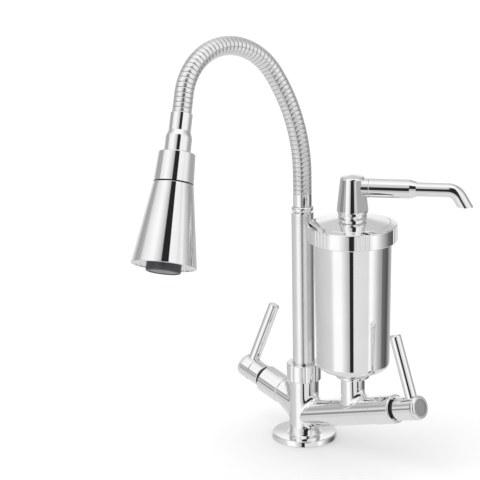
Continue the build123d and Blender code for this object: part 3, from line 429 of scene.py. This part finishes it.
# Each row holds the light and the dark tone, the share of metal, the roughness and its span, the size of the
# patches and of the grain in metres, and the strength of the grain's relief.
FINISH_ROWS = {
    "chrome_plate": ((0.93, 0.93, 0.935), (0.90, 0.90, 0.905), 1.0, 0.035, 0.012, 0.03, 0.0012, 0.004),
    "drawn_chrome": ((0.94, 0.94, 0.945), (0.91, 0.91, 0.915), 1.0, 0.25, 0.02, 0.03, 0.0012, 0.004),
    "chrome_plastic": ((0.92, 0.92, 0.925), (0.89, 0.89, 0.895), 1.0, 0.04, 0.015, 0.02, 0.002, 0.008),
    "collar_chrome": ((0.92, 0.92, 0.925), (0.89, 0.89, 0.895), 1.0, 0.04, 0.015, 0.02, 0.002, 0.008),
    "hose_metal": ((0.91, 0.91, 0.915), (0.87, 0.87, 0.875), 1.0, 0.27, 0.03, 0.012, 0.0008, 0.02),
    "brass": ((0.80, 0.58, 0.28), (0.70, 0.48, 0.22), 1.0, 0.25, 0.08, 0.01, 0.0006, 0.05),
    "rubber": ((0.035, 0.035, 0.037), (0.02, 0.02, 0.021), 0.0, 0.6, 0.1, 0.004, 0.0004, 0.2),
    "ceramic": ((0.88, 0.86, 0.82), (0.82, 0.80, 0.76), 0.0, 0.2, 0.05, 0.005, 0.0005, 0.02),
    "nylon": ((0.80, 0.79, 0.75), (0.74, 0.73, 0.69), 0.0, 0.4, 0.08, 0.006, 0.0005, 0.05),
    "steel": ((0.62, 0.62, 0.63), (0.54, 0.54, 0.55), 1.0, 0.28, 0.08, 0.006, 0.0005, 0.05),
    "grey_plastic": ((0.28, 0.285, 0.29), (0.245, 0.25, 0.255), 0.0, 0.45, 0.08, 0.004, 0.0003, 0.12),
    "dark_plastic": ((0.07, 0.07, 0.075), (0.05, 0.05, 0.053), 0.0, 0.38, 0.08, 0.004, 0.0003, 0.12),
    "tube_plastic": ((0.70, 0.70, 0.68), (0.62, 0.62, 0.60), 0.0, 0.4, 0.08, 0.01, 0.0006, 0.05),
    "filter_media": ((0.05, 0.05, 0.05), (0.025, 0.025, 0.025), 0.0, 0.9, 0.06, 0.003, 0.0007, 0.6),
    "cap_plastic": ((0.75, 0.76, 0.78), (0.69, 0.70, 0.72), 0.0, 0.4, 0.08, 0.006, 0.0005, 0.08),
}


def finish(name, light, dark, metal, rough, rough_span, patch, grain, relief):
    """Principled finish: colour runs between two tones over noise patches of a size in metres, and roughness
    runs over a finer grain, which also stands out a little."""
    made = bpy.data.materials.new(name)
    made.use_nodes = True
    net = made.node_tree
    shader = net.nodes["Principled BSDF"]
    shader.inputs["Metallic"].default_value = metal
    spot = add(net, "ShaderNodeTexCoord")
    wide = add(net, "ShaderNodeTexNoise")
    wide.inputs["Scale"].default_value = 1.0 / patch
    wide.inputs["Detail"].default_value = PATCH_DETAIL
    tone = add(net, "ShaderNodeValToRGB")
    tone.color_ramp.elements[0].position = PATCH_STOPS[0]
    tone.color_ramp.elements[1].position = PATCH_STOPS[1]
    tone.color_ramp.elements[0].color = (*dark, 1.0)
    tone.color_ramp.elements[1].color = (*light, 1.0)
    fine = add(net, "ShaderNodeTexNoise")
    fine.inputs["Scale"].default_value = 1.0 / grain
    fine.inputs["Detail"].default_value = GRAIN_DETAIL
    gloss = add(net, "ShaderNodeMapRange")
    gloss.inputs["From Min"].default_value = GRAIN_STOPS[0]
    gloss.inputs["From Max"].default_value = GRAIN_STOPS[1]
    gloss.inputs["To Min"].default_value = rough - rough_span
    gloss.inputs["To Max"].default_value = rough + rough_span
    bump = add(net, "ShaderNodeBump")
    bump.inputs["Strength"].default_value = relief
    bump.inputs["Distance"].default_value = GRAIN_DEPTH
    link(net, spot.outputs["Object"], wide.inputs["Vector"])
    link(net, spot.outputs["Object"], fine.inputs["Vector"])
    link(net, wide.outputs["Fac"], tone.inputs["Fac"])
    link(net, tone.outputs["Color"], shader.inputs["Base Color"])
    link(net, fine.outputs["Fac"], gloss.inputs["Value"])
    link(net, gloss.outputs["Result"], shader.inputs["Roughness"])
    link(net, fine.outputs["Fac"], bump.inputs["Height"])
    link(net, bump.outputs["Normal"], shader.inputs["Normal"])
    return made


def overlay(net, mask, grey, blend):
    """Lays a grey over a finish's colour where the mask, a socket in the same tree, is one."""
    shader = net.nodes["Principled BSDF"]
    plain = shader.inputs["Base Color"].links[0].from_socket
    laid = add(net, "ShaderNodeMix", data_type="RGBA", blend_type=blend)
    laid.inputs["B"].default_value = (grey, grey, grey, 1.0)
    link(net, mask, laid.inputs["Factor"])
    link(net, plain, laid.inputs["A"])
    link(net, laid.outputs["Result"], shader.inputs["Base Color"])


FINISHES = {name: finish(name, *row) for name, row in FINISH_ROWS.items()}
# The hose's colour is darkened where points carry the gap mark: painted shade in the gaps between the bands.
wound = FINISHES["hose_metal"].node_tree
gap_shade = add(wound, "ShaderNodeAttribute", attribute_name="gap")
overlay(wound, gap_shade.outputs["Fac"], HOSE_GAP_SHADE_GREY, "MULTIPLY")

slot_of = {part["node"]: part["material_slot"] for part in frame["record"]["subparts"]}
for name, solid in nodes.items():
    solid.data.materials.clear()
    solid.data.materials.append(FINISHES[slot_of[name]])
print("finishes:", len(FINISHES), "on", len(slot_of), "solids")

# %% [markdown]
# The line of the hose
#
# The gooseneck leaves its lower ferrule straight up, leans over in a wide arc, turns down in a tight one and
# enters the spray head straight. Each arc lies in its own plane. A point on an arc is its centre plus the
# start radius turned about the arc's axis, and the cross direction is turned with it, so the hose doesn't
# twist.

# %% Draw the line
MM = 0.001
HOSE_FOOT = np.array([0.0, 0.0, 220.4])
HOSE_STRAIGHT = 16.0
BEND_END = np.array([-25.2, -112.6, 321.0])
HEAD_TILT = math.radians(26.13)
HEAD_BEARING = math.radians(-62.41)
FIRST_TANGENT = 47.1

head_dir = np.array(
    [
        math.sin(HEAD_TILT) * math.cos(HEAD_BEARING),
        math.sin(HEAD_TILT) * math.sin(HEAD_BEARING),
        -math.cos(HEAD_TILT),
    ]
)
bend_start = HOSE_FOOT + UP * HOSE_STRAIGHT
chord = BEND_END - bend_start
second_tangent = (0.5 * chord @ chord - FIRST_TANGENT * chord @ UP) / (
    chord @ head_dir - FIRST_TANGENT * (UP @ head_dir - 1.0)
)
corner_low = bend_start + UP * FIRST_TANGENT
corner_high = BEND_END - head_dir * second_tangent
bend_joint = corner_low + (corner_high - corner_low) * FIRST_TANGENT / (FIRST_TANGENT + second_tangent)


def arc_between(start, heading, end):
    """Centre, axis, angle and radius of the arc that leaves start along heading and reaches end."""
    reach = end - start
    along = reach @ heading
    across = reach - heading * along
    wide = np.linalg.norm(across)
    radius = reach @ reach / (2.0 * wide)
    side = across / wide
    return start + side * radius, np.cross(heading, side), 2.0 * math.atan2(wide, along), radius


def turn(vector, axis, angles):
    """Vector turned about an axis by each angle: its part along the axis stays, the rest swings round."""
    angles = np.asarray(angles, float)[..., None]
    swung = vector * np.cos(angles) + np.cross(axis, vector) * np.sin(angles)
    return swung + axis * (axis @ vector) * (1 - np.cos(angles))


low_centre, low_axis, low_angle, low_radius = arc_between(bend_start, UP, bend_joint)
joint_dir = turn(UP, low_axis, low_angle)
high_centre, high_axis, high_angle, high_radius = arc_between(bend_joint, joint_dir, BEND_END)
low_length = low_radius * low_angle
high_length = high_radius * high_angle
HOSE_LENGTH = 2.0 * HOSE_STRAIGHT + low_length + high_length
steady = turn(high_axis, low_axis, -low_angle)


def hose_line(distance):
    """Points, tangents and cross directions at an array of distances along the hose, in millimetres."""
    s = np.asarray(distance, float)
    on_low = np.clip(s - HOSE_STRAIGHT, 0.0, low_length) / low_radius
    on_high = np.clip(s - HOSE_STRAIGHT - low_length, 0.0, high_length) / high_radius
    before = np.minimum(s - HOSE_STRAIGHT, 0.0)[:, None]
    after = np.maximum(s - HOSE_STRAIGHT - low_length - high_length, 0.0)[:, None]
    spoke = bend_joint - high_centre
    points = low_centre + turn(bend_start - low_centre, low_axis, on_low) + before * UP
    points = points + turn(spoke, high_axis, on_high) - spoke + after * head_dir
    upper = (on_high > 0)[:, None]
    tangents = np.where(upper, turn(joint_dir, high_axis, on_high), turn(UP, low_axis, on_low))
    cross = np.where(upper, high_axis, turn(steady, low_axis, on_low))
    return points, tangents, cross


print("hose", round(HOSE_LENGTH, 1), "mm long, bends of", round(low_radius), "and", round(high_radius), "mm")

# %% [markdown]
# Surfaces from a grid
#
# Each drawn piece is a grid of points: one parameter runs along a profile, the other round it. The faces
# come from the grid's own numbering, so no loop visits a point. Both directions close, so the piece is a
# ring with no open edge, and its faces look outwards.

# %% Make a piece from a grid
CUBIC_CENTIMETRES = 1e6


def grid_piece(name, points, slot, sharp):
    """Mesh from points of shape (rows, columns, 3) in millimetres. Each face joins a point with its
    neighbours in the next row and the next column, and the last ones with the first. Edges that turn by
    more than sharp degrees stay sharp."""
    rows, columns = points.shape[:2]
    index = np.arange(rows * columns).reshape(rows, columns)
    step = np.roll(index, -1, axis=1)
    after = np.roll(index, -1, axis=0)
    both = np.roll(step, -1, axis=0)
    quads = np.stack([index, step, both, after], axis=-1)
    made = new_mesh(name, points.reshape(-1, 3) * MM, quads.reshape(-1, 4))
    made.data.shade_smooth()
    made.data.set_sharp_from_angle(angle=math.radians(sharp))
    made.data.materials.append(FINISHES[slot])
    return made


def volume(made):
    """Signed volume of a closed mesh in cubic centimetres: the sum of the tetrahedra from the origin."""
    made.data.calc_loop_triangles()
    count = len(made.data.loop_triangles)
    corner = np.empty(count * 3, np.int64)
    made.data.loop_triangles.foreach_get("vertices", corner)
    spots = np.empty(len(made.data.vertices) * 3)
    made.data.vertices.foreach_get("co", spots)
    tri = spots.reshape(-1, 3)[corner.reshape(-1, 3)]
    six_times = np.einsum("ij,ij->i", tri[:, 0], np.cross(tri[:, 1], tri[:, 2])).sum()
    return six_times / 6.0 * CUBIC_CENTIMETRES


def tube_on_line(distance, radius, around):
    """Grid of circles on the hose line: each point is the line's point plus radius times cosine and sine of
    the angle along the two cross directions."""
    points, tangents, cross = hose_line(distance)
    other = np.cross(tangents, cross)
    angle = np.linspace(0.0, 2.0 * math.pi, around, endpoint=False)[None, :, None]
    ring = np.cos(angle) * cross[:, None, :] + np.sin(angle) * other[:, None, :]
    return points[:, None, :] + np.asarray(radius)[:, None, None] * ring


print("grid tools ready")

# %% [markdown]
# The gooseneck hose
#
# The hose is wound from a metal strip whose turns hook into each other. From outside each turn is a nearly
# flat band that stands a little proud at its lower edge, with a narrow gap before the next band; the gap is
# darkened with painted shade. The profile repeats 61 times along the line, and the same grid comes back
# through the bore to close the wall.

# %% Wind the hose
HOSE_RIBS = 61
HOSE_AROUND = 64
HOSE_SHARP = 60.0
HOSE_VALLEY_R = 7.35
HOSE_BORE_R = 6.2
GAP_BELOW_R = 7.7
# Each pair is a share of one turn and a radius.
BAND = np.array(
    [
        (0.00, 7.60),
        (0.035, 7.62),
        (0.055, 7.82),
        (0.09, 7.92),
        (0.16, 7.97),
        (0.30, 8.00),
        (0.50, 7.99),
        (0.70, 7.95),
        (0.85, 7.90),
        (0.92, 7.86),
        (0.945, 7.80),
        (0.965, 7.62),
    ]
)
rib = HOSE_LENGTH / HOSE_RIBS
turns = np.arange(HOSE_RIBS)[:, None]
out_s = np.append(((turns + BAND[None, :, 0]) * rib).ravel(), HOSE_LENGTH)
out_r = np.append(np.tile(BAND[:, 1], HOSE_RIBS), HOSE_VALLEY_R)
back_s = np.linspace(HOSE_LENGTH, 0.0, 2 * HOSE_RIBS)
back_r = np.full(back_s.size, HOSE_BORE_R)
hose_grid = tube_on_line(np.append(out_s, back_s), np.append(out_r, back_r), HOSE_AROUND)
hose = grid_piece("gooseneck_wound", hose_grid, "hose_metal", HOSE_SHARP)
# Points in the gaps between the bands are marked to carry the painted shade.
in_gap = np.append(out_r < GAP_BELOW_R, np.zeros(back_r.size, bool)).astype(float)
gap_shade_marks = hose.data.attributes.new("gap", "FLOAT", "POINT")
gap_shade_marks.data.foreach_set("value", np.repeat(in_gap, HOSE_AROUND))
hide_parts("gooseneck_hose")
print("hose", len(hose.data.polygons), "faces,", round(volume(hose), 2), "cubic centimetres")

# %% [markdown]
# The water tube
#
# Inside the hose runs a plain plastic tube that both ferrules grip. It can't be seen, but it bends with the
# hose, so it is drawn along the same line.

# %% Draw the water tube along the hose line
TUBE_R = 5.4
TUBE_BORE_R = 4.0
TUBE_BELOW = 11.4
TUBE_BEYOND = 10.0
TUBE_STEPS = 160
TUBE_AROUND = 32
TUBE_SHARP = 40.0
tube_s = np.linspace(-TUBE_BELOW, HOSE_LENGTH + TUBE_BEYOND, TUBE_STEPS)
tube_ends = np.append(tube_s, tube_s[::-1])
tube_r = np.append(np.full(tube_s.size, TUBE_R), np.full(tube_s.size, TUBE_BORE_R))
tube_grid = tube_on_line(tube_ends, tube_r, TUBE_AROUND)
tube = grid_piece("water_tube_bent", tube_grid, "tube_plastic", TUBE_SHARP)
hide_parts("water_tube")
for piece in (hose, tube):
    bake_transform(piece)
print("tube", round(volume(tube), 2), "cubic centimetres")

# %% [markdown]
# The seam above the cone
#
# The cone turns on a pivot that carries on from the collar. A fine dark line shows between collar and cone:
# it is painted shade, a near-black laid over the collar's chrome colour. A point gets the painted shade when
# its distance along the head's axis is past the collar's end.

# %% Paint shade into the seam
COLLAR_END = 57.3
# Near-black of the painted seam shade, and where it begins and where it is full, in mm past the collar's
# end.
SEAM_SHADE_GREY = 0.02
SEAM_SHADE_SHOWS = -0.15
SEAM_SHADE_FULL = -0.05
hose_end = BEND_END + head_dir * HOSE_STRAIGHT
seam_shade_from = hose_end @ head_dir + COLLAR_END
# The painted seam shade goes into the collar's finish.
seam_shade_net = FINISHES["collar_chrome"].node_tree
where = add(seam_shade_net, "ShaderNodeTexCoord")
along_head = add(seam_shade_net, "ShaderNodeVectorMath", operation="DOT_PRODUCT")
along_head.inputs[1].default_value = head_dir
past = add(seam_shade_net, "ShaderNodeMapRange")
past.inputs["From Min"].default_value = (seam_shade_from + SEAM_SHADE_SHOWS) * MM
past.inputs["From Max"].default_value = (seam_shade_from + SEAM_SHADE_FULL) * MM
link(seam_shade_net, where.outputs["Object"], along_head.inputs[0])
link(seam_shade_net, along_head.outputs["Value"], past.inputs["Value"])
overlay(seam_shade_net, past.outputs["Result"], SEAM_SHADE_GREY, "MIX")
print("painted seam shade past", round(seam_shade_from, 1), "mm along the head's axis")
